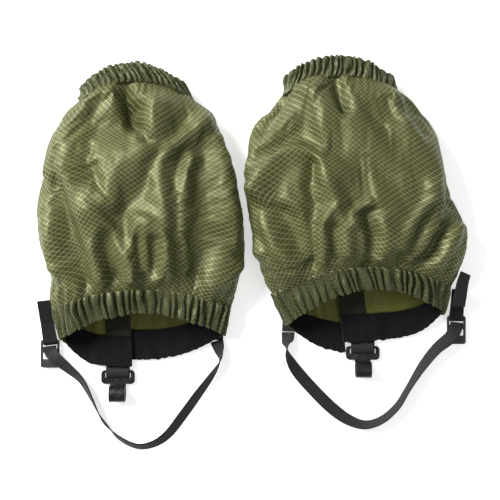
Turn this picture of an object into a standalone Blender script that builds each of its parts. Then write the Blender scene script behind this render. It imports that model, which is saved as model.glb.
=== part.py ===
"""A pair of short ankle gaiters, lying flat on a table as they come out of the bag.

Metres, +Z up. The foot ends point towards -Y and the tops towards +Y. Each gaiter lies on its front, so its
back faces up. The two are a left-right pair: on the left gaiter the buckle is on the -X side, and on the
right gaiter it is on the +X side.

The skin of a gaiter is a flattened tube. A place on it has two coordinates:
  level  0 at the foot hem, 1 at the top of the foot casing, 7 at the foot of the top casing, 8 at the rim
  turn   an angle round the leg: 0 at the buckle side, pi at the other side, sine above 0 on the back
The front is split by the closure. Its buckle half ends at a free edge, and the other half carries on below
it as the closure flap, with the two tapes of the hook-and-loop fastener between them.
"""

import math
from collections import namedtuple

import bmesh
import bpy
import numpy as np
from mathutils import Matrix, Vector

MM = 0.001
GAP = 0.4 * MM                  # between pieces that touch
CLOTH = 1.2 * MM                # a folded and coated layer of nylon
CASING_WALL = 2.2 * MM          # the gathered cloth of the foot casing
HEM_ELASTIC = 1.6 * MM
TOP_CASING = 4.0 * MM           # both layers and the tunnel between them
TOP_TUNNEL = 1.9 * MM           # the height of the tunnel between them
TOP_ELASTIC = 0.6 * MM
TAPE = 0.9 * MM                 # one half of the hook-and-loop fastener
PLACKET = 0.8 * MM
FLAP_WIDTH = 32 * MM
TAPE_WIDTH = 20 * MM
PLACKET_WIDTH = 27 * MM
LAP_LIFT = CLOTH + 2 * TAPE + 3 * GAP    # the buckle half lies this high over the flap
LAP_EASE = 16 * MM              # and comes down over this width beside it
SIDE_HEIGHT = 0.38              # of the section's height, where back and front meet
BACK_POWER = 3.0                # how blunt the back of the section is
FRONT_POWER = 2.2
FRONT_FLAT = 0.55               # share of the front that lies flat on the table
TOP_LEVEL = 8
LEVEL_SPACING = 26              # millimetres between the first two levels at the front, at least

WEBBING = 14 * MM
WEBBING_THICK = 1.4 * MM
HOOK_WEBBING = 25 * MM
BAR_TO_HEM = 3.9 * MM           # from the hook's bar to the hem above it

PAIR_CENTRE = Vector((0.00033, -0.02435, 0.0))   # brings the middle of the pair to the origin

# One level of the skin: the place of its two sides along the leg, its middle across it, its half width,
# its height above the table, how far its back and its front bow towards +Y and -Y, and how far the +X side
# lies towards +Y. All in millimetres.
Level = namedtuple("Level", "along middle half_width height back_bow front_bow tilt")

LEFT_LEVELS = (
    Level(-87, -118, 88, 38, 27, 36, 2),
    Level(-56, -119, 95, 42, 19, 34, 1),
    Level(-23, -116, 98, 52, 10, 22, 0),
    Level(17, -119, 104, 59, 4, 12, 0),
    Level(57, -121, 104.5, 60, 3, 6, 0),
    Level(98, -122, 96, 56, 6, 2, 0),
    Level(137, -124, 83, 45, 12, 2, 0),
    Level(162, -124, 62, 33, 18, 6, 0),
    Level(177, -127, 56, 28, 23, 10, 0),
)
RIGHT_LEVELS = (
    Level(-68, 118, 85, 38, 33, 28, 7),
    Level(-38, 114, 95, 42, 24, 28, 4),
    Level(-12, 111, 106, 52, 12, 22, 1),
    Level(20, 110, 112, 59, 5, 12, 0),
    Level(60, 101, 106, 60, 4, 6, 0),
    Level(100, 96.5, 98, 56, 6, 2, 0),
    Level(135, 94.5, 90, 46, 12, 2, 0),
    Level(168, 93, 64, 33, 18, 6, 0),
    Level(186, 90.5, 58.5, 28, 21, 10, 0),
)

# side is 1 where the buckle is at -X. lap is how far the closure's free edge lies past the middle, away from
# the buckle. step is how far the flap half's hem lies towards +Y of the buckle half's at the closure.
Gaiter = namedtuple("Gaiter", "name side levels lap step hook_at bar_at anchor_at tab_top strap")

# A strap's route: place and roll in degrees, where 0 lies flat and 90 stands on edge.
LEFT_STRAP = (
    (-217, -104.0, 8.1, 0),
    (-210, -112.0, 11.8, 20),
    (-198, -122.5, 10.0, 38),
    (-184, -136.0, 7.4, 55),
    (-173, -156.0, 7.6, 70),
    (-165.5, -171.5, 7.8, 80),
    (-157.5, -183.0, 7.9, 86),
    (-143, -197.5, 7.6, 66),
    (-124, -206.0, 7.2, 60),
    (-106, -203.0, 6.8, 54),
    (-91, -192.5, 6.4, 48),
    (-75, -172.0, 6.2, 46),
    (-59.5, -150.5, 6.4, 50),
    (-44, -129.0, 7.2, 66),
    (-36, -114.0, 7.8, 94),
    (-37, -103.0, 5.2, 140),
    (-39.5, -93.6, 1.6, 176),
)
RIGHT_STRAP = (
    (216, -79.0, 8.1, 0),
    (209.5, -89.0, 11.8, 20),
    (195, -101.5, 10.0, 44),
    (182, -118.0, 7.4, 56),
    (172, -133.0, 7.6, 68),
    (164, -146.0, 7.8, 74),
    (153.5, -163.0, 7.6, 70),
    (138, -177.0, 7.4, 66),
    (120, -183.0, 6.8, 58),
    (102, -178.0, 5.6, 42),
    (84.5, -166.0, 4.4, 28),
    (65, -147.0, 4.2, 27),
    (46.5, -126.0, 4.6, 32),
    (37, -110.0, 7.0, 64),
    (35, -98.5, 7.6, 104),
    (36.5, -92.0, 4.6, 150),
    (37, -84.5, 1.5, 176),
)
RIGHT_TAIL = (
    (217, -56.0, 18.0, 0),
    (217.3, -50.0, 21.5, 4),
    (218, -44.0, 24.0, 10),
    (220, -31.0, 26.0, 20),
    (223.5, -20.5, 25.0, 30),
)

LEFT = Gaiter("left", 1, LEFT_LEVELS, -12, 9.5, -145.5, (-218.0, -93.4), (-40, -87), (-223, -50),
              LEFT_STRAP)
RIGHT = Gaiter("right", -1, RIGHT_LEVELS, 22, -10, 117.0, (217.0, -68.0), (38, -74.5), (217.5, -38),
               RIGHT_STRAP)

BAR_HEIGHT = 4.6 * MM           # of the buckle's top bar above the table
BUCKLE_SIZE = (20 * MM, 30 * MM, 3.0 * MM)
BUCKLE_BAR = 2.6 * MM
HOOK_BAR_HEIGHT = 3.1 * MM
HOOK_PLATE = (36 * MM, 14.8 * MM, 2.0 * MM)
HOOK_SLOT = (27.5 * MM, 5.6 * MM)
HOOK_BAR = 2.6 * MM
CURL_WIDTH = 17 * MM
CURL_RADIUS = 8.6 * MM          # outside
CURL_CENTRE = 23.5 * MM         # from the bar
CURL_TURN = math.radians(285)


# ---------------------------------------------------------------- scene and materials

def clear_scene():
    for thing in list(bpy.data.objects):
        bpy.data.objects.remove(thing, do_unlink=True)


def new_collection(name, hidden=False):
    made = bpy.data.collections.new(name)
    made.hide_render = hidden
    bpy.context.scene.collection.children.link(made)
    return made


def new_material(name, colour, roughness, metallic=0.0):
    made = bpy.data.materials.new(name)
    made.use_nodes = True
    shader = made.node_tree.nodes["Principled BSDF"]
    shader.inputs["Base Color"].default_value = (*colour, 1.0)
    shader.inputs["Roughness"].default_value = roughness
    shader.inputs["Metallic"].default_value = metallic
    return made


def add_object(name, data, material):
    made = bpy.data.objects.new(name, data)
    parts.objects.link(made)
    data.materials.append(material)
    made.parent = pair_origin
    return made


def place_under(child, empty_name, position):
    """Hangs a moving piece on an empty that stands on its joint's axis."""
    empty = bpy.data.objects.get(empty_name)
    if empty is None:
        empty = bpy.data.objects.new(empty_name, None)
        parts.objects.link(empty)
        empty.parent = pair_origin
        empty.location = position
    child.parent = empty
    child.matrix_parent_inverse = Matrix.Translation(-Vector(position))


# ---------------------------------------------------------------- the skin of a gaiter

def smooth_step(share):
    share = min(1.0, max(0.0, share))
    return share * share * (3 - 2 * share)


def through(values, place):
    """A smooth curve through equally spaced values, read at a place between them."""
    last = len(values) - 1
    start = min(last - 1, max(0, int(place)))
    share = place - start
    a, b = values[start], values[start + 1]
    before = values[start - 1] if start > 0 else 2 * a - b
    after = values[start + 2] if start + 2 <= last else 2 * b - a
    slope_a, slope_b = (b - before) / 2, (after - a) / 2
    square, cube = share ** 2, share ** 3
    return ((2 * cube - 3 * square + 1) * a + (cube - 2 * square + share) * slope_a
            + (3 * square - 2 * cube) * b + (cube - square) * slope_b)


def level_at(gaiter, level):
    columns = np.array(gaiter.levels, float) * MM
    return Level(*(through(columns[:, k], level) for k in range(columns.shape[1])))


def front_line(gaiter, level, across, buckle_half):
    """How far along the leg the front is at a share across it."""
    at = level_at(gaiter, level)
    bow = at.front_bow
    if not buckle_half:
        bow -= gaiter.step * MM * (1 - level / TOP_LEVEL)
    return at.along - bow * (1 - across ** 2) + at.tilt * gaiter.side * across


def closure_ends(gaiter):
    """The closure's straight free edge, from the hem to the rim, as two points (x, y)."""
    ends = []
    for level in (0, TOP_LEVEL):
        at = level_at(gaiter, level)
        share = gaiter.lap * MM / at.half_width
        ends.append((at.middle + gaiter.side * gaiter.lap * MM, front_line(gaiter, level, share, True)))
    return ends


def closure_share(gaiter, level, buckle_half=True):
    """Where the closure's edge crosses a level, as a share across the front."""
    (x_hem, y_hem), (x_rim, y_rim) = closure_ends(gaiter)
    at = level_at(gaiter, level)
    share = 0.0
    for _ in range(6):
        y = front_line(gaiter, level, share, buckle_half)
        x = x_hem + (x_rim - x_hem) * (y - y_hem) / (y_rim - y_hem)
        share = gaiter.side * (x - at.middle) / at.half_width
    return share


def skin_point(gaiter, level, turn):
    at = level_at(gaiter, level)
    across = -math.cos(turn)
    side_height = SIDE_HEIGHT * at.height
    x = at.middle + gaiter.side * at.half_width * across
    if math.sin(turn) >= 0:
        y = at.along + at.back_bow * (1 - across ** 2) + at.tilt * gaiter.side * across
        round_off = math.sqrt(max(0.0, 1 - abs(across) ** BACK_POWER))
        return Vector((x, y, side_height + (at.height - side_height) * round_off))
    buckle_half = turn < 0
    y = front_line(gaiter, level, across, buckle_half)
    rise = max(0.0, (abs(across) - FRONT_FLAT) / (1 - FRONT_FLAT))
    z = side_height * (1 - math.sqrt(max(0.0, 1 - rise ** FRONT_POWER)))
    if buckle_half:
        from_edge = (closure_share(gaiter, level) - across) * at.half_width
        z += LAP_LIFT * (1 - smooth_step((from_edge - FLAP_WIDTH - 2 * MM) / LAP_EASE))
    return Vector((x, y, z))


def inward(gaiter, level, turn):
    """The unit normal of the skin that points into the leg's space."""
    step = 0.02
    low, high = max(0, level - step), min(TOP_LEVEL, level + step)
    up_leg = skin_point(gaiter, high, turn) - skin_point(gaiter, low, turn)
    round_leg = skin_point(gaiter, level, turn + step) - skin_point(gaiter, level, turn - step)
    normal = up_leg.cross(round_leg).normalized()
    at = level_at(gaiter, level)
    here = skin_point(gaiter, level, turn)
    half_height = at.height / 2
    to_middle = Vector(((at.middle - here.x) / at.half_width ** 2, 0,
                        (half_height - here.z) / half_height ** 2))
    return normal if normal.dot(to_middle) > 0 else -normal


def closure_turn(gaiter, level, buckle_half):
    """The closure's edge as a turn: below 0 seen from the buckle half, above pi from the other."""
    turn = -math.acos(-closure_share(gaiter, level, buckle_half))
    return turn if buckle_half else turn + 2 * math.pi


# ---------------------------------------------------------------- solids

def mesh_object(name, points, faces, material):
    mesh = bpy.data.meshes.new(name)
    mesh.from_pydata([tuple(p) for p in points], [], faces)
    shaped = bmesh.new()
    shaped.from_mesh(mesh)
    bmesh.ops.recalc_face_normals(shaped, faces=shaped.faces)
    shaped.to_mesh(mesh)
    shaped.free()
    made = add_object(name, mesh, material)
    mesh.shade_smooth()
    mesh.set_sharp_from_angle(angle=math.radians(40))
    return made


def sheet(name, grid, material, thickness, inner_normal):
    """A cloth solid: a grid of points on its outer face, made thick towards the inside."""
    rows, columns = len(grid), len(grid[0])
    points = [p for row in grid for p in row]
    faces = [(r * columns + c, r * columns + c + 1, (r + 1) * columns + c + 1, (r + 1) * columns + c)
             for r in range(rows - 1) for c in range(columns - 1)]
    made = mesh_object(name, points, faces, material)
    middle = len(made.data.polygons) // 2
    facing_in = made.data.polygons[middle].normal.dot(inner_normal) > 0
    thick = made.modifiers.new("thickness", "SOLIDIFY")
    thick.thickness = thickness
    thick.offset = 1 if facing_in else -1
    return made


def panel(name, gaiter, levels, first_turn, last_turn, columns, material):
    """A panel of the shell. Its turns may depend on the level, where it ends at the closure."""
    grid = []
    for level in np.linspace(*levels, 15):
        first, last = first_turn(level), last_turn(level)
        grid.append([skin_point(gaiter, level, turn) for turn in np.linspace(first, last, columns)])
    middle_level = sum(levels) / 2
    middle_turn = (first_turn(middle_level) + last_turn(middle_level)) / 2
    return sheet(name, grid, material, CLOTH, inward(gaiter, middle_level, middle_turn))


def ring_turns(gaiter, level):
    """Turns round the whole leg, from the buckle half's free edge to the other half's end."""
    first = closure_turn(gaiter, level, True)
    last = closure_turn(gaiter, level, False) - 0.006
    front = list(np.linspace(first, -0.5, 9)[:-1]) + list(np.linspace(-0.5, 0, 5)[:-1])
    back = list(np.linspace(0, 0.5, 5)[:-1]) + list(np.linspace(0.5, math.pi - 0.5, 15)[:-1])
    far = list(np.linspace(math.pi - 0.5, math.pi + 0.5, 9)[:-1])
    return front + back + far + list(np.linspace(math.pi + 0.5, last, 8))


def band(name, gaiter, low, high, profile, material):
    """A strip round the leg. Its profile is a list of (share from the low to the high level, depth)."""
    sections = []
    for turns in zip(ring_turns(gaiter, low), ring_turns(gaiter, high)):
        section = []
        for share, depth in profile:
            level = low + share * (high - low)
            turn = turns[0] + share * (turns[1] - turns[0])
            section.append(skin_point(gaiter, level, turn) + inward(gaiter, level, turn) * depth)
        sections.append(section)
    size = len(profile)
    points = [p for section in sections for p in section]
    faces = [(r * size + c, r * size + (c + 1) % size, (r + 1) * size + (c + 1) % size, (r + 1) * size + c)
             for r in range(len(sections) - 1) for c in range(size)]
    faces += [tuple(range(size)), tuple(len(points) - size + c for c in range(size))]
    return mesh_object(name, points, faces, material)


def closure_strip(name, gaiter, levels, near, far, height, thickness, material, buckle_half):
    """A flat strip along the closure, from near to far millimetres inside its free edge."""
    grid = []
    for level in np.linspace(*levels, 13):
        at = level_at(gaiter, level)
        edge = closure_share(gaiter, level, buckle_half)
        row = []
        for from_edge in (near, far):
            share = edge - from_edge / at.half_width
            x = at.middle + gaiter.side * at.half_width * share
            row.append(Vector((x, front_line(gaiter, level, share, buckle_half), height)))
        grid.append(row)
    return sheet(name, grid, material, thickness, Vector((0, 0, 1)))


def outline_solid(name, loops, thickness, material, matrix):
    """A flat outline with holes, given as closed loops of points, made thick and put in place."""
    curve = bpy.data.curves.new(name, "CURVE")
    curve.dimensions = "2D"
    curve.fill_mode = "BOTH"
    curve.extrude = thickness / 2
    for loop in loops:
        spline = curve.splines.new("POLY")
        spline.points.add(len(loop) - 1)
        for point, (x, y) in zip(spline.points, loop):
            point.co = (x, y, 0, 1)
        spline.use_cyclic_u = True
    made = add_object(name, curve, material)
    made.matrix_basis = matrix
    return as_mesh(made)


def as_mesh(made):
    """Turns a curve object into a welded mesh object of the same name."""
    bpy.context.view_layer.update()
    evaluated = made.evaluated_get(bpy.context.evaluated_depsgraph_get())
    mesh = bpy.data.meshes.new_from_object(evaluated)
    name, matrix, material = made.name, made.matrix_basis.copy(), made.data.materials[0]
    bpy.data.objects.remove(made)
    shaped = bmesh.new()
    shaped.from_mesh(mesh)
    bmesh.ops.remove_doubles(shaped, verts=shaped.verts, dist=1e-6)
    bmesh.ops.recalc_face_normals(shaped, faces=shaped.faces)
    shaped.to_mesh(mesh)
    shaped.free()
    mesh.materials.clear()
    result = add_object(name, mesh, material)
    result.matrix_basis = matrix
    return result


def rounded_rectangle(width, low, high, radius, steps=4):
    """Corner points of a rounded rectangle that is centred on x and runs from low to high in y."""
    corners = ((width / 2 - radius, high - radius, 0), (-width / 2 + radius, high - radius, 90),
               (-width / 2 + radius, low + radius, 180), (width / 2 - radius, low + radius, 270))
    points = []
    for x, y, start in corners:
        for k in range(steps + 1):
            angle = math.radians(start + 90 * k / steps)
            points.append((x + radius * math.cos(angle), y + radius * math.sin(angle)))
    return points


def circle(centre, radius, steps=16):
    return [(centre[0] + radius * math.cos(2 * math.pi * k / steps),
             centre[1] + radius * math.sin(2 * math.pi * k / steps)) for k in range(steps)]


def tab_loop(name, length, radius, hole, width, matrix, material):
    """Webbing folded round a bar at the origin and running to +Y, flat on itself, as a side outline."""
    half = WEBBING_THICK
    outline = [(length, half), (length * 0.45, half)]
    for k in range(13):
        angle = math.radians(62 + 236 * k / 12)
        outline.append((radius * math.cos(angle), radius * math.sin(angle)))
    outline += [(length * 0.45, -half), (length, -half)]
    # The outline's x runs along the leg and its y up, and its thickness across.
    upright = Matrix(((0, 0, 1, 0), (1, 0, 0, 0), (0, 1, 0, 0), (0, 0, 0, 1)))
    return outline_solid(name, [outline, circle((0, 0), hole)], width, material, matrix @ upright)


def strap(name, route, material):
    """Flat webbing along a route of (x, y, z, roll), as a curve with a flat bevel outline."""
    columns = np.array(route, float)
    count = (len(route) - 1) * 3 + 1
    curve = bpy.data.curves.new(name, "CURVE")
    curve.dimensions = "3D"
    curve.twist_mode = "Z_UP"
    curve.bevel_mode = "OBJECT"
    curve.bevel_object = webbing_section
    curve.use_fill_caps = True
    spline = curve.splines.new("POLY")
    spline.points.add(count - 1)
    for point, place in zip(spline.points, np.linspace(0, len(route) - 1, count)):
        x, y, z, roll = (through(columns[:, k], place) for k in range(4))
        point.co = (x * MM, y * MM, z * MM, 1)
        point.tilt = math.radians(roll)
    return as_mesh(add_object(name, curve, material))


def make_webbing_section():
    curve = bpy.data.curves.new("webbing_section", "CURVE")
    curve.dimensions = "2D"
    spline = curve.splines.new("POLY")
    spline.points.add(3)
    half, thin = WEBBING / 2, WEBBING_THICK / 2
    for point, (x, y) in zip(spline.points, ((-half, -thin), (half, -thin), (half, thin), (-half, thin))):
        point.co = (x, y, 0, 1)
    spline.use_cyclic_u = True
    made = bpy.data.objects.new("webbing_section", curve)
    guides.objects.link(made)
    made.hide_render = True
    made.display_type = "WIRE"
    return made


# ---------------------------------------------------------------- sub-parts

def make_shell(gaiter):
    name, seam = gaiter.name, 0.016
    levels = (1.02, 6.98)
    panel(f"{name}_back_panel", gaiter, levels, lambda _: seam, lambda _: math.pi - seam, 21, shell_cloth)
    panel(f"{name}_inner_front_panel", gaiter, levels,
          lambda level: closure_turn(gaiter, level, True), lambda _: -seam, 13, shell_cloth)
    panel(f"{name}_outer_front_panel", gaiter, levels,
          lambda _: math.pi + seam, lambda level: closure_turn(gaiter, level, False) - 0.006, 11, shell_cloth)


def layer(near, far, steps):
    """A band's profile between two depths, with points along it to follow the skin's curve."""
    shares = [k / steps for k in range(steps + 1)]
    return [(share, near) for share in shares] + [(share, far) for share in reversed(shares)]


def make_casings(gaiter):
    name = gaiter.name
    band(f"{name}_foot_casing", gaiter, 0, 1, layer(0, CASING_WALL, 4), casing_cloth)
    near = CASING_WALL + GAP
    band(f"{name}_hem_elastic", gaiter, 0.03, 0.94, layer(near, near + HEM_ELASTIC, 4), elastic)
    tunnel, slit = (TOP_CASING - TOP_TUNNEL) / 2, 0.15 * MM
    middle = TOP_CASING / 2
    folded = ((0, 0), (1, 0), (1, TOP_CASING), (0, TOP_CASING), (0, middle + slit), (0.1, middle + slit),
              (0.1, TOP_CASING - tunnel), (0.9, TOP_CASING - tunnel), (0.9, tunnel), (0.1, tunnel),
              (0.1, middle - slit), (0, middle - slit))
    band(f"{name}_top_casing", gaiter, 7, 8, folded, casing_cloth)
    band(f"{name}_top_elastic", gaiter, 7.16, 7.84,
         layer(middle - TOP_ELASTIC / 2, middle + TOP_ELASTIC / 2, 1), elastic)


def make_closure(gaiter):
    name = gaiter.name
    middle = (FLAP_WIDTH - TAPE_WIDTH) / 2
    hem_level = max(0.0, -gaiter.step / LEVEL_SPACING)     # the flap ends above the hook's tab
    flap = closure_strip(f"{name}_closure_flap", gaiter, (hem_level, TOP_LEVEL), GAP, FLAP_WIDTH, 0, CLOTH,
                         shell_cloth, False)
    hook_height = CLOTH + GAP
    hooks = closure_strip(f"{name}_hook_tape", gaiter, (1.1, 6.9), middle, middle + TAPE_WIDTH, hook_height,
                          TAPE, tape_black, False)
    closure_strip(f"{name}_loop_tape", gaiter, (1.1, 6.9), middle, middle + TAPE_WIDTH,
                  hook_height + TAPE + GAP, TAPE, tape_black, True)
    closure_strip(f"{name}_placket_strip", gaiter, (1.1, 6.9), GAP, PLACKET_WIDTH, LAP_LIFT + CLOTH + GAP,
                  PLACKET, placket_cloth, True)
    (x, y), _ = closure_ends(gaiter)
    for piece in (flap, hooks):
        place_under(piece, f"{name}_flap_fold", (x, y, 0))


def make_hook(gaiter):
    name, x = gaiter.name, gaiter.hook_at * MM
    at = level_at(gaiter, 0)
    hem = min(front_line(gaiter, 0, gaiter.side * (x + k * HOOK_WEBBING - at.middle) / at.half_width, True)
              for k in (-0.5, -0.25, 0, 0.25, 0.5))
    bar = Vector((x, hem - BAR_TO_HEM, HOOK_BAR_HEIGHT))
    tab_loop(f"{name}_hook_tab", BAR_TO_HEM - GAP, 3.0 * MM, 1.8 * MM, HOOK_WEBBING,
             Matrix.Translation(bar), webbing_black)
    width, length, thick = HOOK_PLATE
    half_bar = HOOK_BAR / 2
    plate = [rounded_rectangle(width, half_bar - length, half_bar, 4 * MM),
             rounded_rectangle(HOOK_SLOT[0], -half_bar - HOOK_SLOT[1], -half_bar, 1 * MM, 2)]
    hook = outline_solid(f"{name}_lace_hook", plate, thick, hook_metal, Matrix.Translation(bar))
    # The curl's side outline: x away from the bar, y up, and its strip's thickness the plate's.
    rise = CURL_RADIUS - thick / 2
    outer, inner, steps = [], [], 22
    for k in range(steps + 1):
        angle = -math.pi / 2 + CURL_TURN * k / steps
        for points, radius in ((outer, CURL_RADIUS), (inner, CURL_RADIUS - thick)):
            points.append((CURL_CENTRE + radius * math.cos(angle), rise + radius * math.sin(angle)))
    start = length - HOOK_BAR
    outline = [(start, -thick / 2)] + outer + inner[::-1] + [(start, thick / 2)]
    away = Matrix(((0, 0, 1, 0), (-1, 0, 0, 0), (0, 1, 0, 0), (0, 0, 0, 1)))
    curl = outline_solid(f"{name}_curl", [outline], CURL_WIDTH, hook_metal, Matrix.Translation(bar) @ away)
    parts.objects.unlink(curl)
    guides.objects.link(curl)
    curl.hide_render = True
    curl.display_type = "WIRE"
    join = hook.modifiers.new("curl", "BOOLEAN")
    join.operation = "UNION"
    join.object = curl
    return hook


def make_buckle(gaiter):
    name = gaiter.name
    bar = Vector((gaiter.bar_at[0] * MM, gaiter.bar_at[1] * MM, BAR_HEIGHT))
    top = Vector((gaiter.tab_top[0] * MM, gaiter.tab_top[1] * MM, 0.0165))
    reach = top - bar
    heading = Matrix.Rotation(math.atan2(-reach.x, reach.y), 4, "Z")
    climb = Matrix.Rotation(math.atan2(reach.z, reach.xy.length), 4, "X")
    tab_loop(f"{name}_buckle_tab", reach.length, 4.5 * MM, 3.2 * MM, WEBBING,
             Matrix.Translation(bar) @ heading @ climb, webbing_black)
    width, length, thick = BUCKLE_SIZE
    half_bar, slot = BUCKLE_BAR / 2, WEBBING + 1.2 * MM
    loops = [rounded_rectangle(width, half_bar - length, half_bar, 2.5 * MM),
             rounded_rectangle(slot, -half_bar - 6.8 * MM, -half_bar, 0.8 * MM, 2),
             rounded_rectangle(slot, -half_bar - 18.4 * MM, -half_bar - 11.4 * MM, 0.8 * MM, 2)]
    buckle = outline_solid(f"{name}_buckle", loops, thick, buckle_plastic, Matrix.Translation(bar))
    webbing = strap(f"{name}_foot_strap", gaiter.strap, webbing_black)
    for piece in (buckle, webbing):
        place_under(piece, f"{name}_strap_swing", bar)


def make_anchor(gaiter):
    """The folded end of the foot strap, bar-tacked under the foot casing."""
    x, y = gaiter.anchor_at
    outline = rounded_rectangle(WEBBING, -4 * MM, 4 * MM, 1 * MM, 2)
    outline_solid(f"{gaiter.name}_strap_anchor", [outline], WEBBING_THICK, webbing_black,
                  Matrix.Translation((x * MM, y * MM, 0.1 * MM + WEBBING_THICK / 2)))


clear_scene()
parts = new_collection("gaiters")
guides = new_collection("guides", hidden=True)
pair_origin = bpy.data.objects.new("pair_origin", None)
parts.objects.link(pair_origin)
pair_origin.location = PAIR_CENTRE

shell_cloth = new_material("shell_cloth", (0.125, 0.130, 0.045), 0.45)
casing_cloth = new_material("casing_cloth", (0.105, 0.110, 0.040), 0.5)
placket_cloth = new_material("placket_cloth", (0.030, 0.030, 0.016), 0.8)
elastic = new_material("elastic", (0.010, 0.010, 0.010), 0.9)
tape_black = new_material("tape_black", (0.012, 0.012, 0.012), 0.95)
webbing_black = new_material("webbing_black", (0.030, 0.030, 0.030), 0.8)
buckle_plastic = new_material("buckle_plastic", (0.012, 0.012, 0.013), 0.35)
hook_metal = new_material("hook_metal", (0.020, 0.020, 0.022), 0.3, 0.8)
webbing_section = make_webbing_section()

for pair_side in (LEFT, RIGHT):
    make_shell(pair_side)
    make_casings(pair_side)
    make_closure(pair_side)
    make_hook(pair_side)
    make_buckle(pair_side)
    make_anchor(pair_side)
tail = strap("right_strap_tail", RIGHT_TAIL, webbing_black)
place_under(tail, "right_tail_swing", (RIGHT.bar_at[0] * MM, RIGHT.bar_at[1] * MM, BAR_HEIGHT))
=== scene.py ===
"""The looks of a pair of short ankle gaiters, lying on a white table.

Metres, +Z up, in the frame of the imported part. Each gaiter is rebuilt as fine cloth on the same flattened
tube as its solids. A place on the tube is a level (0 foot hem, 1 and 7 the seams of the casings, 8 rim) and
a turn round the leg (0 the buckle side, pi the other side, sine above 0 on the back).
"""

import math
from collections import namedtuple

import bpy
import numpy as np
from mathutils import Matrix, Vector, noise


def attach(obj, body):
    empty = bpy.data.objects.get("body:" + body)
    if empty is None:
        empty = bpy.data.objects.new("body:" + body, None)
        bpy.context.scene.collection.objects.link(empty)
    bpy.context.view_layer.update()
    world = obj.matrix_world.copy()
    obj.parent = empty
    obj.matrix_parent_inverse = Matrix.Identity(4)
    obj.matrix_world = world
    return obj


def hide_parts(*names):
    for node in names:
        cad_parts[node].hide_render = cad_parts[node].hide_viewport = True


MM = 0.001
PAIR_CENTRE = np.array((0.00033, -0.02435, 0.0))
SIDE_HEIGHT, BACK_POWER, FRONT_POWER, FRONT_FLAT = 0.38, 3.0, 2.2, 0.55
FLAP_WIDTH = 32 * MM
LAP_LIFT, LAP_EASE = 4.2 * MM, 16 * MM
TOP_LEVEL = 8
CLOTH = 0.5 * MM
CREST, PRESS, PRESS_EASE = 44 * MM, 0.24, 4 * MM
FOLD_WIDER, FOLD_HIGHER = 1.45, 1.6
FLAP_RUNS_ON = 0.02
LEVEL_SPACING = 26
# Near the hem, on the buckle half and on the other: how much blunter the front's arc is, and how much lower.
HEM_BLUNT, HEM_LOWER = (2.6, 0.2), (0.10, 0.02)
FOOT_PITCH, FOOT_LEAN = 9.2, 2.0
WEBBING, WEBBING_THICK = 14 * MM, 1.4 * MM

Level = namedtuple("Level", "along middle half_width height back_bow front_bow tilt")
LEFT_LEVELS = (
    Level(-87, -118, 88, 38, 27, 36, 2),
    Level(-56, -119, 95, 42, 19, 34, 1),
    Level(-23, -116, 98, 52, 10, 22, 0),
    Level(17, -119, 104, 59, 4, 12, 0),
    Level(57, -121, 104.5, 60, 3, 6, 0),
    Level(98, -122, 96, 56, 6, 2, 0),
    Level(137, -124, 83, 45, 12, 2, 0),
    Level(162, -124, 62, 33, 18, 6, 0),
    Level(177, -127, 56, 28, 23, 10, 0),
)
RIGHT_LEVELS = (
    Level(-68, 118, 85, 38, 33, 28, 7),
    Level(-38, 114, 95, 42, 24, 28, 4),
    Level(-12, 111, 106, 52, 12, 22, 1),
    Level(20, 110, 112, 59, 5, 12, 0),
    Level(60, 101, 106, 60, 4, 6, 0),
    Level(100, 96.5, 98, 56, 6, 2, 0),
    Level(135, 94.5, 90, 46, 12, 2, 0),
    Level(168, 93, 64, 33, 18, 6, 0),
    Level(186, 90.5, 58.5, 28, 21, 10, 0),
)
# side is 1 where the buckle is at -X. lap is how far the closure's free edge lies past the middle, away from
# the buckle, and step how far the other half's hem lies towards +Y of the buckle half's, both in millimetres.
# seed keeps one gaiter's noise apart from the other's.
Gaiter = namedtuple("Gaiter", "name side levels lap step seed folds")

# A strap's route: place in millimetres, and roll in degrees, where 0 lies flat and 90 stands on edge.
LEFT_STRAP = (
    (-218, -98.6, 8.7, 0),
    (-217, -104.0, 8.8, 0),
    (-210, -112.0, 11.8, 20),
    (-198, -122.5, 10.0, 38),
    (-184, -136.0, 7.4, 55),
    (-173, -156.0, 7.6, 70),
    (-165.5, -171.5, 7.8, 80),
    (-157.5, -183.0, 7.9, 86),
    (-143, -197.5, 7.6, 66),
    (-124, -206.0, 7.2, 60),
    (-106, -203.0, 6.8, 54),
    (-91, -192.5, 6.4, 48),
    (-75, -172.0, 6.2, 46),
    (-59.5, -150.5, 6.4, 50),
    (-44, -129.0, 7.2, 66),
    (-36, -114.0, 7.8, 94),
    (-37, -103.0, 5.2, 140),
    (-39.5, -93.6, 1.6, 176),
)
RIGHT_STRAP = (
    (217, -73.2, 8.7, 0),
    (216, -79.0, 8.8, 0),
    (209.5, -89.0, 11.8, 20),
    (195, -101.5, 10.0, 44),
    (182, -118.0, 7.4, 56),
    (172, -133.0, 7.6, 68),
    (164, -146.0, 7.8, 74),
    (153.5, -163.0, 7.6, 70),
    (138, -177.0, 7.4, 66),
    (120, -183.0, 6.8, 58),
    (102, -178.0, 5.6, 42),
    (84.5, -166.0, 4.4, 28),
    (65, -147.0, 4.2, 27),
    (46.5, -126.0, 4.6, 32),
    (37, -110.0, 7.0, 64),
    (35, -98.5, 7.6, 104),
    (36.5, -92.0, 4.6, 150),
    (37, -84.5, 1.5, 176),
)
RIGHT_TAIL = (
    (217, -56.0, 18.0, 0),
    (217.3, -50.0, 21.5, 4),
    (218, -44.0, 24.0, 10),
    (220, -31.0, 26.0, 20),
    (223.5, -20.5, 25.0, 30),
)


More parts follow.
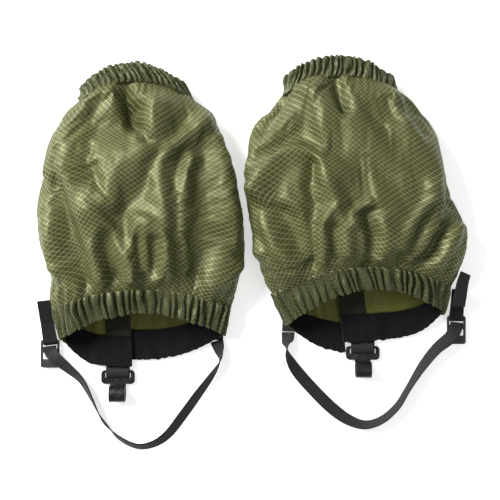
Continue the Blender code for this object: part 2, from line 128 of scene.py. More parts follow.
# The larger folds on the back: how high each stands (below 0 for a valley), its half width, and the places
# that it runs through on the table's plane. All in millimetres.
LEFT_FOLDS = (
    (-9, 5, ((-135, 150), (-130, 124), (-124, 113))),
    (-7, 5, ((-121, 130), (-116, 111), (-110, 95))),
    (6, 10, ((-103, 128), (-110, 89), (-126, 54), (-149, 31))),
    (-8, 17, ((-141, 122), (-153, 82), (-168, 50))),
    (5, 10, ((-149, 140), (-170, 112), (-188, 82), (-186, 58), (-169, 23))),
    (-7, 12, ((-76, 108), (-101, 64), (-122, 31), (-141, -4))),
    (6, 7, ((-56, 112), (-83, 89), (-95, 58), (-87, 18), (-83, -44))),
    (-6, 6, ((-75, 82), (-81, 47), (-79, 8), (-77, -44))),
    (5, 5, ((-62, 76), (-71, 43), (-71, -44))),
    (-9, 12, ((-50, 84), (-54, 37), (-54, -4), (-60, -46))),
    (5, 7, ((-35, 95), (-30, 47), (-27, 8), (-33, -31), (-46, -54))),
    (-10, 10, ((-210, 46), (-200, 16), (-188, -12), (-174, -58))),
    (5, 7, ((-190, 62), (-180, 12), (-169, -31), (-161, -62))),
    (5, 7, ((-215, 58), (-211, 8), (-205, -35))),
    (5, 6, ((-167, 20), (-149, -2), (-134, -23), (-128, -48))),
    (-5, 7, ((-155, -8), (-149, -31), (-145, -52))),
    (4, 4, ((-161, -4), (-163, -23), (-155, -54))),
    (4, 4, ((-118, 12), (-124, -12), (-124, -44))),
    (4, 4, ((-110, 12), (-110, -15), (-112, -40))),
    (4, 5, ((-103, 8), (-91, -12), (-93, -35), (-103, -50))),
    (-5, 5, ((-118, -12), (-116, -48))),
    (-4, 5, ((-101, -12), (-103, -40))),
    (4, 6, ((-21, -37), (-40, -58), (-52, -72))),
    (4, 6, ((-198, -43), (-182, -66))),
)
RIGHT_FOLDS = (
    (-8, 5, ((86, 162), (90, 142), (95, 128))),
    (6, 9, ((60, 164), (47, 138), (35, 115), (19, 84), (10, 45))),
    (-7, 9, ((33, 148), (16, 125), (8, 109))),
    (6, 6, ((10, 39), (23, 64), (41, 82), (64, 78), (74, 52), (86, 29))),
    (-7, 5, ((59, 68), (60, 27), (64, -35))),
    (4, 6, ((10, 37), (41, 25), (54, 6), (60, -27))),
    (-9, 10, ((23, 25), (43, 6), (51, -35))),
    (5, 6, ((16, 25), (19, 2), (33, -18), (49, -39))),
    (5, 5, ((70, -32), (70, 2), (82, 21), (95, 6), (97, -20))),
    (-4, 4, ((82, 2), (84, -31))),
    (4, 4, ((103, 8), (103, 19), (117, 29))),
    (4, 4, ((107, 12), (115, -8), (115, -30))),
    (-6, 6, ((120, 17), (121, -6), (119, -35))),
    (5, 5, ((130, 13), (136, -6), (130, -28))),
    (-7, 7, ((156, -33), (167, -6), (183, 17))),
    (6, 6, ((162, -28), (179, 2), (189, 27), (179, 45))),
    (5, 5, ((154, -14), (162, 10), (177, 31))),
    (-6, 6, ((173, -41), (189, -16), (204, 6))),
    (5, 6, ((179, -43), (201, -18), (212, 2))),
    (5, 13, ((144, 142), (158, 111), (169, 84), (177, 56))),
    (4, 9, ((95, 154), (103, 128), (103, 95), (95, 66))),
    (4, 9, ((68, 150), (72, 111), (80, 76), (84, 56))),
    (-6, 16, ((95, 84), (107, 56), (107, 27))),
    (-4, 14, ((132, 111), (142, 84), (138, 64))),
    (4, 6, ((6, -22), (21, -20), (39, -31), (45, -49))),
    (4, 5, ((21, -35), (31, -49), (37, -61))),
    (-5, 12, ((45, 128), (51, 99), (68, 84))),
)


LEFT = Gaiter("left", 1, LEFT_LEVELS, -12, 9.5, 3.0, LEFT_FOLDS)
RIGHT = Gaiter("right", -1, RIGHT_LEVELS, 22, -10, 11.0, RIGHT_FOLDS)


# ---------------------------------------------------------------- the skin of a gaiter

def smooth_step(share):
    share = np.clip(share, 0, 1)
    return share * share * (3 - 2 * share)


def through(table, place):
    """A smooth curve through the equally spaced rows of a table, read at an array of places."""
    place = np.asarray(place, float)
    last = len(table) - 1
    start = np.clip(place.astype(int), 0, last - 1)
    share = (place - start)[..., None]
    a, b = table[start], table[start + 1]
    before = np.where((start > 0)[..., None], table[np.maximum(start - 1, 0)], 2 * a - b)
    after = np.where((start + 2 <= last)[..., None], table[np.minimum(start + 2, last)], 2 * b - a)
    slope_a, slope_b = (b - before) / 2, (after - a) / 2
    square, cube = share ** 2, share ** 3
    return ((2 * cube - 3 * square + 1) * a + (cube - 2 * square + share) * slope_a
            + (3 * square - 2 * cube) * b + (cube - square) * slope_b)


def level_at(gaiter, level):
    return Level(*np.moveaxis(through(np.array(gaiter.levels, float) * MM, level), -1, 0))


def front_line(gaiter, level, across, buckle_half):
    at = level_at(gaiter, level)
    bow = at.front_bow - np.where(buckle_half, 0, gaiter.step * MM * (1 - level / TOP_LEVEL))
    near_hem = np.clip(1 - level / 3, 0, 1)
    blunt = 2 + np.where(buckle_half, *HEM_BLUNT) * near_hem
    bow = bow * (1 - np.where(buckle_half, *HEM_LOWER) * near_hem)
    return at.along - bow * (1 - np.abs(across) ** blunt) + at.tilt * gaiter.side * across


def closure_share(gaiter, level, buckle_half=True):
    """Where the closure's straight edge crosses a level, as a share across the front."""
    ends = []
    for end in (0.0, float(TOP_LEVEL)):
        at = level_at(gaiter, end)
        share = gaiter.lap * MM / at.half_width
        ends.append((at.middle + gaiter.side * gaiter.lap * MM, front_line(gaiter, end, share, True)))
    (x_hem, y_hem), (x_rim, y_rim) = ends
    at = level_at(gaiter, level)
    share = np.zeros_like(level)
    for _ in range(6):
        y = front_line(gaiter, level, share, buckle_half)
        x = x_hem + (x_rim - x_hem) * (y - y_hem) / (y_rim - y_hem)
        share = gaiter.side * (x - at.middle) / at.half_width
    return share


def closure_turn(gaiter, level, buckle_half):
    turn = -np.arccos(-closure_share(gaiter, level, buckle_half))
    return turn if buckle_half else turn + 2 * math.pi


def skin_point(gaiter, level, turn):
    at = level_at(gaiter, level)
    across = -np.cos(turn)
    side_height = SIDE_HEIGHT * at.height
    x = at.middle + gaiter.side * at.half_width * across
    y_back = at.along + at.back_bow * (1 - across ** 2) + at.tilt * gaiter.side * across
    crown = np.sqrt(np.clip(1 - np.abs(across) ** BACK_POWER, 0, 1))
    z_back = side_height + (at.height - side_height) * crown
    buckle_half = turn < 0
    y_front = front_line(gaiter, level, across, buckle_half)
    rise = np.clip((np.abs(across) - FRONT_FLAT) / (1 - FRONT_FLAT), 0, 1)
    z_front = side_height * (1 - np.sqrt(np.clip(1 - rise ** FRONT_POWER, 0, 1)))
    from_edge = (closure_share(gaiter, level) - across) * at.half_width
    lift = LAP_LIFT * (1 - smooth_step((from_edge - FLAP_WIDTH - 2 * MM) / LAP_EASE))
    z_front = z_front + np.where(buckle_half, lift, 0)
    on_back = np.sin(turn) >= 0
    y, z = np.where(on_back, y_back, y_front), np.where(on_back, z_back, z_front)
    return np.stack([x, y, z], -1) + PAIR_CENTRE


def unit(vectors):
    return vectors / np.maximum(np.linalg.norm(vectors, axis=-1, keepdims=True), 1e-9)


def skin(gaiter, level, turn):
    """Points of the skin, its outward normals and the directions up the leg."""
    level, turn = np.broadcast_arrays(np.asarray(level, float), np.asarray(turn, float))
    step = 0.01
    up_leg = unit(skin_point(gaiter, level + step, turn) - skin_point(gaiter, level - step, turn))
    round_leg = skin_point(gaiter, level, turn + step) - skin_point(gaiter, level, turn - step)
    normals = unit(np.cross(round_leg, up_leg)) * gaiter.side
    return skin_point(gaiter, level, turn), normals, up_leg


def even_turns(gaiter, level, columns):
    """Turns at even steps of cloth round the leg, and the millimetres of cloth at each.

    The flap half runs on a little below the buckle half.
    """
    first = closure_turn(gaiter, level, True)
    last = closure_turn(gaiter, level, False) + FLAP_RUNS_ON
    even = np.linspace(0, 1, 800)
    probe = skin_point(gaiter, np.full(800, 4.0), first.flat[0] + (last.flat[0] - first.flat[0]) * even)
    length = steps_along(probe, 0)
    share = np.interp(np.linspace(0, length[-1], columns), length, even)
    return first + (last - first) * share[None, :], np.interp(share, even, length)[None, :] / MM


def steps_along(points, axis):
    """The length along the cloth from the grid's first row or column."""
    lengths = np.linalg.norm(np.diff(points, axis=axis), axis=-1)
    return np.insert(np.cumsum(lengths, axis=axis), 0, 0, axis=axis)


def noise_of(x, y, seed):
    """Smooth noise from about -1 to 1, at arrays of places."""
    x, y = np.broadcast_arrays(np.asarray(x, float), np.asarray(y, float))
    values = [noise.noise(Vector((a, b, seed))) for a, b in zip(x.ravel(), y.ravel())]
    return np.array(values).reshape(x.shape) * 1.6


def folds_at(points, folds):
    """How far the listed folds push the cloth out at each place, in millimetres."""
    plan = (points[..., :2] / MM)[..., None, :]
    push = np.zeros(points.shape[:-1])
    for height, width, route in folds:
        width, height = width * FOLD_WIDER, height * FOLD_HIGHER
        line = through(np.array(route, float), np.linspace(0, len(route) - 1, 9 * len(route)))
        apart = np.linalg.norm(plan - line, axis=-1).min(-1)
        push += height * np.exp(-(apart / width) ** 2)
    return push


def billow(values):
    """Round ridges with sharp valleys between them, from 0 upwards."""
    return np.abs(values) ** 0.75


# ---------------------------------------------------------------- meshes

def grid_object(name, points, uv, material, inside_out, closed=False):
    """A grid of points as a smooth mesh, with its UV map in metres of cloth."""
    rows, columns = points.shape[:2]
    across = columns if closed else columns - 1
    r, c = np.meshgrid(np.arange(rows - 1), np.arange(across), indexing="ij")
    after = (c + 1) % columns
    corners = [r * columns + c, r * columns + after, (r + 1) * columns + after, (r + 1) * columns + c]
    faces = np.stack(corners[::-1] if inside_out else corners, -1).reshape(-1, 4)
    mesh = bpy.data.meshes.new(name)
    mesh.from_pydata(points.reshape(-1, 3).tolist(), [], faces.tolist())
    places = uv.reshape(-1, 2)[faces.ravel()]
    mesh.uv_layers.new(name="UVMap").data.foreach_set("uv", places.ravel())
    mesh.materials.append(material)
    mesh.shade_smooth()
    made = bpy.data.objects.new(name, mesh)
    bpy.context.scene.collection.objects.link(made)
    return made


def thicken(made, thickness, offset=-1.0, inner=None):
    solid = made.modifiers.new("thickness", "SOLIDIFY")
    solid.thickness = thickness
    solid.offset = offset
    if inner:
        made.data.materials.append(inner)
        solid.material_offset = 1


def apply_modifiers(made):
    graph = bpy.context.evaluated_depsgraph_get()
    mesh = bpy.data.meshes.new_from_object(made.evaluated_get(graph))
    made.modifiers.clear()
    made.data = mesh


# ---------------------------------------------------------------- materials

def node(tree, kind, inputs=None, **settings):
    made = tree.nodes.new("ShaderNode" + kind)
    for key, value in settings.items():
        setattr(made, key, value)
    for key, value in (inputs or {}).items():
        if isinstance(value, bpy.types.NodeSocket):
            tree.links.new(value, made.inputs[key])
        else:
            made.inputs[key].default_value = value
    return made


def maths(tree, operation, *values):
    return node(tree, "Math", dict(enumerate(values)), operation=operation).outputs[0]


def blank_material(name, roughness, metallic=0.0):
    made = bpy.data.materials.new(name)
    made.use_nodes = True
    shader = made.node_tree.nodes["Principled BSDF"]
    shader.inputs["Roughness"].default_value = roughness
    shader.inputs["Metallic"].default_value = metallic
    return made, made.node_tree, shader


def ramp(tree, value, low, high):
    return node(tree, "MapRange", {"Value": value, "From Min": low, "From Max": high},
                interpolation_type="SMOOTHSTEP").outputs["Result"]


def mixed(tree, share, a, b):
    made = node(tree, "Mix", data_type="RGBA")
    for key, value in (("Factor", share), ("A", a), ("B", b)):
        socket = [s for s in made.inputs if s.name == key and (key == "Factor" or s.type == "RGBA")][0]
        if isinstance(value, bpy.types.NodeSocket):
            tree.links.new(value, socket)
        else:
            socket.default_value = value
    return [s for s in made.outputs if s.type == "RGBA"][0]


def cloth_places(tree):
    """The two directions along the cloth, in metres."""
    split = node(tree, "SeparateXYZ", {"Vector": node(tree, "UVMap", uv_map="UVMap").outputs[0]})
    return split.outputs[0], split.outputs[1]


def ripstop(name, base, line, roughness, crinkle, gloss, cell=(6.6 * MM, 5.0 * MM)):
    """Coated nylon with a diamond grid of thicker threads, and fine crinkles."""
    made, tree, shader = blank_material(name, roughness, gloss)
    u, v = cloth_places(tree)
    u, v = maths(tree, "DIVIDE", u, cell[0]), maths(tree, "DIVIDE", v, cell[1])
    lines = []
    for diagonal in (maths(tree, "ADD", u, v), maths(tree, "SUBTRACT", u, v)):
        off = maths(tree, "ABSOLUTE", maths(tree, "SUBTRACT", maths(tree, "FRACT", diagonal), 0.5))
        lines.append(ramp(tree, off, 0.40, 0.475))
    threads = maths(tree, "MAXIMUM", *lines)
    place = node(tree, "TexCoord").outputs["Object"]
    patches = node(tree, "TexNoise", {"Vector": place, "Scale": 28.0, "Detail": 2.0}).outputs["Fac"]
    cloth = mixed(tree, ramp(tree, patches, 0.35, 0.65), (*base, 1), (*[c * 0.8 for c in base], 1))
    # The grid of threads is a real pattern, but their light line colour is a painted glint that stands for
    # the sheen the threads catch in the light.
    tree.links.new(mixed(tree, maths(tree, "MULTIPLY", threads, 0.7), cloth, (*line, 1)),
                   shader.inputs["Base Color"])
    fine = node(tree, "TexNoise", {"Vector": place, "Scale": 260.0, "Detail": 3.0}).outputs["Fac"]
    coarse = node(tree, "TexNoise", {"Vector": place, "Scale": 90.0, "Detail": 2.0}).outputs["Fac"]
    height = maths(tree, "ADD", maths(tree, "MULTIPLY", coarse, crinkle),
                   maths(tree, "MULTIPLY", fine, 0.25 * crinkle))
    bump = node(tree, "Bump", {"Height": height, "Distance": 1.0, "Strength": 1.0})
    raised = node(tree, "Bump", {"Height": threads, "Distance": 0.3 * MM, "Strength": 1.0,
                                 "Normal": bump.outputs[0]})
    tree.links.new(raised.outputs[0], shader.inputs["Normal"])
    glossy = node(tree, "MapRange", {"Value": threads, "To Min": roughness, "To Max": roughness * 0.7})
    tree.links.new(glossy.outputs["Result"], shader.inputs["Roughness"])
    return made


def woven(name, base, ribs, depth, roughness=0.8, twill=True):
    """Webbing or knit: ribs along the cloth's length, broken by a fine weave across them."""
    made, tree, shader = blank_material(name, roughness)
    shader.inputs["Specular IOR Level"].default_value = 0.25
    u, v = cloth_places(tree)
    phase = maths(tree, "MULTIPLY", u, 2 * math.pi / ribs)
    if twill:
        phase = maths(tree, "ADD", phase, maths(tree, "MULTIPLY", maths(tree, "SINE", maths(
            tree, "MULTIPLY", v, 2 * math.pi / (1.2 * ribs))), 0.9))
    rib = maths(tree, "ADD", maths(tree, "MULTIPLY", maths(tree, "SINE", phase), 0.5), 0.5)
    place = node(tree, "TexCoord").outputs["Object"]
    fuzz = node(tree, "TexNoise", {"Vector": place, "Scale": 900.0, "Detail": 2.0}).outputs["Fac"]
    # The colour follows the rib height: painted shade in the grooves between the ribs and a painted highlight
    # on their tops, mottled by the fuzz.
    rib_shade_and_highlight = maths(tree, "MULTIPLY", rib, fuzz)
    tree.links.new(mixed(tree, rib_shade_and_highlight, (*[c * 0.55 for c in base], 1), (*[c * 1.7 for c in base], 1)),
                   shader.inputs["Base Color"])
    height = maths(tree, "ADD", rib, maths(tree, "MULTIPLY", fuzz, 0.6))
    bump = node(tree, "Bump", {"Height": height, "Distance": depth, "Strength": 1.0})
    tree.links.new(bump.outputs[0], shader.inputs["Normal"])
    return made


def hard(name, base, worn, roughness, metallic=0.0):
    """Moulded or plated hardware, slightly uneven, a little brighter on worn places."""
    made, tree, shader = blank_material(name, roughness, metallic)
    place = node(tree, "TexCoord").outputs["Object"]
    patches = node(tree, "TexNoise", {"Vector": place, "Scale": 120.0, "Detail": 4.0}).outputs["Fac"]
    tree.links.new(mixed(tree, ramp(tree, patches, 0.45, 0.75), (*base, 1), (*worn, 1)),
                   shader.inputs["Base Color"])
    rough = node(tree, "MapRange", {"Value": patches, "To Min": roughness * 0.8, "To Max": roughness * 1.3})
    tree.links.new(rough.outputs["Result"], shader.inputs["Roughness"])
    bump = node(tree, "Bump", {"Height": patches, "Distance": 0.05 * MM, "Strength": 0.5})
    tree.links.new(bump.outputs[0], shader.inputs["Normal"])
    return made


# ---------------------------------------------------------------- the cloth pieces

def simulate(made, pins, frames=18):
    """Lets the cloth, which is a little too long for its shape, buckle between its pinned places."""
    group = made.vertex_groups.new(name="pinned")
    for weight in np.unique(np.round(pins, 2)):
        chosen = np.nonzero(np.isclose(np.round(pins, 2), weight))[0]
        if weight > 0:
            group.add(chosen.tolist(), float(weight), "REPLACE")
    cloth = made.modifiers.new("cloth", "CLOTH")
    settings = cloth.settings
    settings.quality = 5
    settings.mass = 0.12
    settings.air_damping = 2.0
    settings.tension_stiffness = settings.compression_stiffness = 20
    settings.shear_stiffness = 8
    settings.bending_stiffness = 0.35
    settings.use_pressure = True
    settings.uniform_pressure_force = 0.9
    settings.shrink_min = -0.05
    settings.vertex_group_mass = "pinned"
    settings.effector_weights.gravity = 0
    cloth.collision_settings.use_collision = False
    scene = bpy.context.scene
    scene.frame_start, scene.frame_end = 1, frames
    cloth.point_cache.frame_start, cloth.point_cache.frame_end = 1, frames
    for frame_number in range(1, frames + 1):
        scene.frame_set(frame_number)
    apply_modifiers(made)
    scene.frame_set(1)


def press_crests(made):
    """Takes the share PRESS off the height that stands above CREST, to stay near the solid's height."""
    places = np.empty(len(made.data.vertices) * 3)
    made.data.vertices.foreach_get("co", places)
    height = places[2::3]
    height -= PRESS * PRESS_EASE * np.log1p(np.exp((height - CREST) / PRESS_EASE))
    made.data.vertices.foreach_set("co", places)
    made.data.update()


def make_shell(gaiter):
    """The puffed body: one piece of cloth from the closure's free edge right round to the flap side."""
    rows, columns = 120, 210
    level = np.linspace(0.86, 7.12, rows)[:, None]
    turn, round_leg = even_turns(gaiter, level, columns)
    level = level + 0 * turn
    round_leg = round_leg + 0 * turn
    points, normals, _ = skin(gaiter, level, turn)
    along = steps_along(points, 0) / MM
    total = along[-1:]
    from_foot, from_top = along, total - along
    near_foot, near_top = np.exp(-from_foot / 30), np.exp(-from_top / 26)
    seed = gaiter.seed
    s = round_leg + 6 * noise_of(round_leg / 60, along / 80, seed)
    soft = noise_of(s / 34, along / 110, seed + 2)
    middle = billow(noise_of(s / 12, along / 70, seed + 3))
    small = billow(noise_of(s / 5.0, along / 34, seed + 4))
    push = (2.5 * soft + middle * (0.4 + 4.0 * near_foot + 3.4 * near_top)
            + small * (2.8 * np.exp(-from_foot / 12) + 2.2 * np.exp(-from_top / 10))
            + folds_at(points, gaiter.folds) * smooth_step(np.sin(turn) / 0.3))
    ease = smooth_step(from_foot / 22) * smooth_step(from_top / 20)
    tuck = -2.2 * (np.exp(-from_foot / 5) + np.exp(-from_top / 5))
    on_front = smooth_step((-np.sin(turn) - 0.15) / 0.35)
    push = (push * (0.35 + 0.65 * ease) + tuck) * (1 - on_front) - on_front * (1.2 * middle + 0.8 * small)
    points = points + normals * (push * MM)[..., None]
    points[..., 2] = np.maximum(points[..., 2], 0.0004)
    uv = np.stack([round_leg * MM, along * MM], -1)
    made = grid_object(f"{gaiter.name}_shell", points, uv, shell_cloth, gaiter.side < 0)
    pins = np.maximum(on_front, 1 - smooth_step((np.minimum(from_foot, from_top) - 3) / 9))
    simulate(made, pins.ravel())
    press_crests(made)
    thicken(made, CLOTH, inner=inner_cloth)
    smooth = made.modifiers.new("smooth", "SUBSURF")
    smooth.levels = smooth.render_levels = 1
    name = gaiter.name
    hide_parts(f"{name}_back_panel", f"{name}_inner_front_panel", f"{name}_outer_front_panel")
    finish_piece(made, f"{name}_gaiter", "shell_cloth")


def finish_piece(made, body, slot, *nodes):
    if nodes:
        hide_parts(*nodes)
    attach(made, body)


def pleats(gaiter, round_leg, down, pitch, lean, seed):
    """Upright pleats, round with sharp gaps between them: how far each place stands out, from 0 to 1."""
    s = (round_leg + lean * down + 5.0 * noise_of(round_leg / 26, down * 0.35, gaiter.seed + seed)
         + 2.2 * noise_of(round_leg / 9, down * 1.3, gaiter.seed + seed + 5))
    beat = s / pitch
    number = np.floor(beat)
    within = beat - number
    sizes = 0.62 + 0.45 * noise_of(number * 0.37, 0.5 + 0.6 * down, gaiter.seed + seed + 1)
    return np.clip(1 - np.abs(2 * within - 1) ** 1.9, 0, 1) ** 0.75 * np.clip(sizes, 0.15, 1)


def ruffle(name, gaiter, seam, edge, wall, pitch, lean, depth, scallop, material, columns=1400):
    """A gathered tunnel of cloth: out from its seam to its edge, over the edge, and back inside."""
    outer, over, inner = 22, 8, 10
    down = np.concatenate([np.linspace(0, 1, outer), np.ones(over), np.linspace(1, 0, inner)])[:, None]
    roll = np.concatenate([np.zeros(outer), np.linspace(0, math.pi, over + 2)[1:-1], np.full(inner, math.pi)])
    roll = roll[:, None]
    down_levels, up_levels = np.linspace(seam, edge, outer), np.linspace(edge, seam, inner)
    level = np.concatenate([down_levels, np.full(over, edge), up_levels])[:, None]
    turn, round_leg = even_turns(gaiter, level, columns)
    points, normals, up_leg = skin(gaiter, level, turn)
    away = up_leg * (1 if edge > seam else -1)
    ridge = pleats(gaiter, round_leg + 0 * down, down, pitch, lean, 20)
    on_front = smooth_step((-np.sin(turn) - 0.1) / 0.3)
    at_side = smooth_step(np.sin(turn) / 0.55 + 0.35)
    swell = 0.40 + 0.60 * np.sin(np.pi * np.clip(down * 0.8, 0, 1)) ** 0.8
    fine = 0.45 * noise_of(round_leg / 2.6, down * 4, gaiter.seed + 23)
    out = (depth * (ridge - 0.35) * swell * (0.35 + 0.65 * at_side) + fine) * (1 - 0.85 * on_front)
    out = out * (0.5 + 0.5 * np.cos(roll))
    out = out + 0.5 * depth * ridge * (0.5 - 0.5 * np.cos(roll)) * (1 - on_front)
    half = wall / MM / 2
    depth_in = half * (1 - np.cos(roll))
    past = half * np.sin(roll) + scallop * ridge * down ** 3 * (1 - 0.7 * on_front)
    past = past - 1.4 * down ** 3 * on_front
    tuck = 1.2 * np.exp(-down / 0.08) * (roll < 0.1) * (1 - on_front)
    points = points + normals * ((out - depth_in - tuck) * MM)[..., None] + away * (past * MM)[..., None]
    points[..., 2] = np.maximum(points[..., 2], 0.0003)
    uv = np.stack([(round_leg + 0 * down) * MM * 1.5, steps_along(points, 0)], -1)
    flip = (gaiter.side < 0) != (edge < seam)
    made = grid_object(name, points, uv, material, flip)
    thicken(made, 0.35 * MM)
    return made


def make_casings(gaiter):
    name = gaiter.name
    foot = ruffle(f"{name}_foot_ruffle", gaiter, 1.0, 0.0, 2.4 * MM, FOOT_PITCH, FOOT_LEAN, 10.0, 3.0,
                  casing_cloth)
    finish_piece(foot, f"{name}_gaiter", "casing_cloth", f"{name}_foot_casing")
    top = ruffle(f"{name}_top_ruffle", gaiter, 7.0, 8.0, 3.6 * MM, 11.5, 13.0, 7.0, 2.2, casing_cloth)
    finish_piece(top, f"{name}_gaiter", "casing_cloth", f"{name}_top_casing", f"{name}_top_elastic")


def make_hem_band(gaiter):
    """The black elastic inside the foot casing, pleated with it, its edge in small scallops."""
    rows, columns = 26, 1100
    down = np.linspace(0, 1, rows)[:, None]
    level = 0.98 - 0.98 * down
    turn, round_leg = even_turns(gaiter, level, columns)
    points, normals, up_leg = skin(gaiter, level, turn)
    ridge = pleats(gaiter, round_leg + 0 * down, down, FOOT_PITCH, FOOT_LEAN, 20)
    on_front = smooth_step((-np.sin(turn) - 0.1) / 0.3)
    deep = 3.9 + 0.9 * noise_of(round_leg / 12, down * 1.5, gaiter.seed + 40) * on_front
    past = (0.3 + 1.0 * ridge + 0.8 * noise_of(round_leg / 7, 0, gaiter.seed + 41)) * down ** 5 * on_front
    points = points - normals * (deep * MM)[..., None] - up_leg * (past * MM)[..., None]
    points[..., 2] = np.maximum(points[..., 2], 0.0006)
    uv = np.stack([(round_leg + 0 * down) * MM, steps_along(points, 0)], -1)
    made = grid_object(f"{gaiter.name}_hem_band", points, uv, elastic_knit, gaiter.side > 0)
    thicken(made, 0.9 * MM, 0.0)
    finish_piece(made, f"{gaiter.name}_gaiter", "elastic", f"{gaiter.name}_hem_elastic")


def closure_strip(gaiter, node_name, body, slot, material, levels, near, far, height, thickness, buckle_half,
                  wave=0.0):
    """A flat strip along the closure, from near to far millimetres inside its free edge."""
    rows, columns = 90, 12
    level = np.linspace(*levels, rows)[:, None]
    at = level_at(gaiter, level)
    from_edge = np.linspace(near, far, columns)[None, :] * MM
    share = closure_share(gaiter, level, buckle_half) - from_edge / at.half_width
    x = at.middle + gaiter.side * at.half_width * share
    y = front_line(gaiter, level, share, buckle_half)
    z = height * MM + wave * MM * noise_of(x / 0.011, y / 0.017, gaiter.seed + 31)
    points = np.stack([x, y, z], -1) + PAIR_CENTRE
    uv = np.stack([from_edge + 0 * x, steps_along(points, 0)], -1)
    made = grid_object(f"{node_name}_cloth", points, uv, material, gaiter.side > 0)
    thicken(made, thickness * MM)
    finish_piece(made, body, slot, node_name)
    return made


def make_closure(gaiter):
    name = gaiter.name
    gaiter_body, flap_body = f"{name}_gaiter", f"{name}_flap"
    flap_foot = max(0.0, -gaiter.step / LEVEL_SPACING)
    flap = closure_strip(gaiter, f"{name}_closure_flap", flap_body, "shell_cloth", shell_cloth,
                         (flap_foot, TOP_LEVEL), 0.4, 32, 0.9, 0.8, False)
    closure_strip(gaiter, f"{name}_hook_tape", flap_body, "fastener_tape", tape_nap,
                  (1.1, 6.9), 6, 26, 2.4, 0.8, False)
    closure_strip(gaiter, f"{name}_loop_tape", gaiter_body, "fastener_tape", tape_nap,
                  (1.1, 6.9), 6, 26, 3.7, 0.8, True)
    closure_strip(gaiter, f"{name}_placket_strip", gaiter_body, "placket_cloth", placket_weave,
                  (0.97, 6.9), 0.4, 27, 7.6, 0.7, True, 0.4)


# ---------------------------------------------------------------- webbing and hardware

def ribbon(name, route, material):
    """Flat webbing along a route of (x, y, z, roll), and the line along its middle."""
    table = np.array(route, float)
    fine = through(table, np.linspace(0, len(route) - 1, 1200))
    length = steps_along(fine[:, :3], 0)
    count = int(length[-1] / 0.9)
    places = np.interp(np.linspace(0, length[-1], count), length, np.linspace(0, len(route) - 1, 1200))
    path = through(table, places)
    line = path[:, :3] * MM + PAIR_CENTRE
    tangent = unit(np.gradient(line, axis=0))
    flat = unit(np.cross(tangent, (0, 0, 1.0)))
    upright = np.cross(flat, tangent)
    roll = np.radians(path[:, 3])[:, None]
    side = flat * np.cos(roll) - upright * np.sin(roll)
    face = np.cross(side, tangent)
    half, thin = WEBBING / 2, WEBBING_THICK / 2
    outline = []
    for across, up, u in ((-1, -0.6, 0), (-0.93, -1, 0.5), (-0.5, -1, 3.5), (0, -1, 7), (0.5, -1, 10.5),
                          (0.93, -1, 13.5), (1, -0.6, 14), (1, 0.6, 14.5), (0.93, 1, 15), (0.5, 1, 18),
                          (0, 1, 21.5), (-0.5, 1, 25), (-0.93, 1, 28), (-1, 0.6, 28.5)):
        outline.append((across * half, up * thin, u * MM))
    points = np.stack([line + side * a + face * b for a, b, _ in outline], 1)
    along = steps_along(line, 0)[:, None]
    uv = np.stack([np.array([[u for _, _, u in outline]]) + 0 * along, along + 0 * points[..., 0]], -1)
    made = grid_object(name, points, uv, material, True, closed=True)
    return made, line


def make_straps():
    for gaiter, route in ((LEFT, LEFT_STRAP), (RIGHT, RIGHT_STRAP)):
        name = gaiter.name
        made, line = ribbon(f"{name}_strap_webbing", route, webbing_weave)
        finish_piece(made, f"{name}_strap", "webbing", f"{name}_foot_strap")
    made, _ = ribbon("right_tail_webbing", RIGHT_TAIL, webbing_weave)
    finish_piece(made, "right_tail", "webbing", "right_strap_tail")


def folded_tab(name, bar, width, reach, length, thick, climb, material):
    """Webbing folded round a bar that runs along X, its two layers sewn flat and running towards +Y."""
    section = [(length, thick), (length * 0.55, thick * 1.05)]
    for k in range(17):
        angle = math.radians(70 + 220 * k / 16)
        y = reach * math.cos(angle)
        section.append((y * (1.0 if y < 0 else 0.5), thick * 1.9 * math.sin(angle)))
    section += [(length * 0.55, -thick * 1.05), (length, -thick)]
    across = np.linspace(-0.5, 0.5, 14) * width
    slope = math.sin(climb), math.cos(climb)
    points = []
    for y, z in section:
        y, z = y * MM, z * MM
        points.append([(x, y * slope[1] - z * slope[0], y * slope[0] + z * slope[1]) for x in across])
    points = np.array(points) + np.array(bar)
    points[..., 2] = np.maximum(points[..., 2], 0.0003)
    uv = np.stack([across[None, :] + 0 * points[..., 0], steps_along(points, 0)], -1)
    made = grid_object(name, points, uv, material, False)
    thicken(made, 0.9 * MM, 0.0)
    return made


def make_tabs():
    for gaiter, hook_x, hook_y in ((LEFT, -145.5, -126.2), (RIGHT, 117.0, -100.3)):
        name = gaiter.name
        bar = np.array((hook_x, hook_y, 3.4)) * MM + PAIR_CENTRE
        made = folded_tab(f"{name}_hook_webbing", bar, 25 * MM, 6.8, 8.5, 1.6, 0.0, webbing_weave)
        finish_piece(made, f"{name}_gaiter", "webbing", f"{name}_hook_tab")
    for name, x, y in (("left", -39.8, -92.8), ("right", 37.3, -83.7)):
        made, _ = ribbon(f"{name}_anchor_webbing", ((x, y, 1.4, 180), (x + 0.3, y + 6, 1.0, 180),
                                                   (x + 0.6, y + 13, 0.9, 180)), webbing_weave)
        finish_piece(made, f"{name}_gaiter", "webbing", f"{name}_strap_anchor")


def dress(node_name, material, bevel):
    """A CAD node that is shown as it is, with softened edges and its own finish."""
    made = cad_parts[node_name]
    made.data.materials.clear()
    made.data.materials.append(material)
    edges = made.modifiers.new("soft edges", "BEVEL")
    edges.width = bevel
    edges.segments = 2
    edges.limit_method = "ANGLE"
    edges.angle_limit = math.radians(40)


def make_hardware():
    for name in ("left", "right"):
        dress(f"{name}_lace_hook", hook_plating, 0.35 * MM)
        dress(f"{name}_buckle", buckle_moulding, 0.4 * MM)
        dress(f"{name}_buckle_tab", webbing_plain, 0.25 * MM)


# ---------------------------------------------------------------- table, light and camera

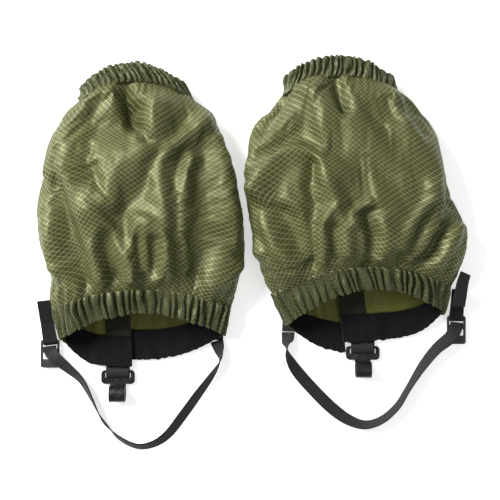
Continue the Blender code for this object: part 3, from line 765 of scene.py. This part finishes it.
def make_stage():
    mesh = bpy.data.meshes.new("table")
    mesh.from_pydata([(-4, -4, 0), (4, -4, 0), (4, 4, 0), (-4, 4, 0)], [], [(0, 1, 2, 3)])
    table = bpy.data.objects.new("table", mesh)
    bpy.context.scene.collection.objects.link(table)
    table.location.z = -0.0002
    white, _, shader = blank_material("white_table", 0.85)
    shader.inputs["Base Color"].default_value = (0.92, 0.92, 0.915, 1)
    shader.inputs["Specular IOR Level"].default_value = 0.2
    shader.inputs["Emission Color"].default_value = (1, 1, 1, 1)
    shader.inputs["Emission Strength"].default_value = 0.55
    mesh.materials.append(white)
    world = bpy.data.worlds.new("studio")
    world.use_nodes = True
    world.node_tree.nodes["Background"].inputs["Color"].default_value = (1, 1, 1, 1)
    world.node_tree.nodes["Background"].inputs["Strength"].default_value = 0.36
    bpy.context.scene.world = world
    for name, place, size, power in (("key", (-1.3, 0.8, 1.15), 1.1, 80), ("fill", (1.1, -0.6, 1.4), 1.2, 5)):
        light = bpy.data.lights.new(name, "AREA")
        light.shape = "DISK"
        light.size = size
        light.energy = power
        made = bpy.data.objects.new(name, light)
        bpy.context.scene.collection.objects.link(made)
        made.location = place
        made.rotation_euler = (-Vector(place)).to_track_quat("-Z", "Y").to_euler()


def make_camera():
    lens, sensor, view_across, above = 85, 36, 0.525, 0.03
    data = bpy.data.cameras.new("camera")
    data.lens = lens
    data.sensor_width = sensor
    made = bpy.data.objects.new("camera", data)
    bpy.context.scene.collection.objects.link(made)
    made.location = (-0.0036, -0.0204, view_across * lens / sensor + above)
    bpy.context.scene.camera = made


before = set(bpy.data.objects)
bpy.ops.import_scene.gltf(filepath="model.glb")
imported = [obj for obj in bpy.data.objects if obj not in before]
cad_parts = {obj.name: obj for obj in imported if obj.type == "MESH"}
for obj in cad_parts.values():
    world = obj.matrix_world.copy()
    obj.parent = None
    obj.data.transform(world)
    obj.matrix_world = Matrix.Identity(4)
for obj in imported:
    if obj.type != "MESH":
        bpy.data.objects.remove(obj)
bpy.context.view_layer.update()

shell_cloth = ripstop("shell_ripstop", (0.060, 0.064, 0.017), (0.33, 0.34, 0.14), 0.56, 0.16 * MM, 0.40)
casing_cloth = ripstop("casing_ripstop", (0.045, 0.048, 0.016), (0.27, 0.28, 0.13), 0.42, 0.20 * MM, 0.45,
                       (4.5 * MM, 4.5 * MM))
inner_cloth = ripstop("inner_cloth", (0.135, 0.138, 0.014), (0.14, 0.145, 0.018), 0.5, 0.4 * MM, 0.2)
placket_weave = woven("placket_weave", (0.022, 0.022, 0.012), 0.9 * MM, 0.1 * MM, 0.85)
elastic_knit = woven("elastic_knit", (0.0035, 0.0035, 0.0035), 1.3 * MM, 0.35 * MM, 0.9, False)
tape_nap = woven("tape_nap", (0.006, 0.006, 0.006), 0.8 * MM, 0.4 * MM, 0.95)
webbing_weave = woven("webbing_weave", (0.016, 0.016, 0.0155), 1.5 * MM, 0.2 * MM, 0.7)
webbing_plain = woven("webbing_plain", (0.006, 0.006, 0.006), 1.5 * MM, 0.2 * MM, 0.7)
hook_plating = hard("hook_plating", (0.020, 0.020, 0.022), (0.05, 0.05, 0.05), 0.32, 0.6)
buckle_moulding = hard("buckle_moulding", (0.018, 0.018, 0.019), (0.03, 0.03, 0.03), 0.38)

for one in (LEFT, RIGHT):
    make_shell(one)
    make_casings(one)
    make_hem_band(one)
    make_closure(one)
make_straps()
make_tabs()
make_hardware()
make_stage()
make_camera()
bpy.context.scene.view_settings.view_transform = "Standard"
